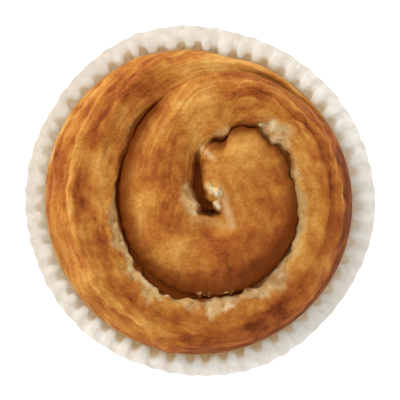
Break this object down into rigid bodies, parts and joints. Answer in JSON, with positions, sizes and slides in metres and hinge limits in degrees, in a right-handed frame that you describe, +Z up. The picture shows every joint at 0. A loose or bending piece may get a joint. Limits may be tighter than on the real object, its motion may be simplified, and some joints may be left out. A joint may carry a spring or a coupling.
{
  "type": "cruffin",
  "caption": "Coiled swirl of baked laminated dough with a domed crown, standing in a flared fluted paper case.",
  "frame": {"origin": "middle of the flat underside of the paper case's floor", "axes": "+Z up, out of the crown; +X to the right and +Y to the top of the reference view, which looks straight down"},
  "size_m": [0.0858, 0.0859, 0.0572],
  "materials": {
    "baked_dough": "golden brown baked crust with darker red-brown patches and pale torn edges, slightly shiny from an egg wash",
    "case_paper": "thin off-white baking paper, matt, a little darker where butter has soaked in"
  },
  "bodies": {
    "root": {"pastry": "baked_dough", "paper_case": "case_paper"}
  },
  "joints": []
}
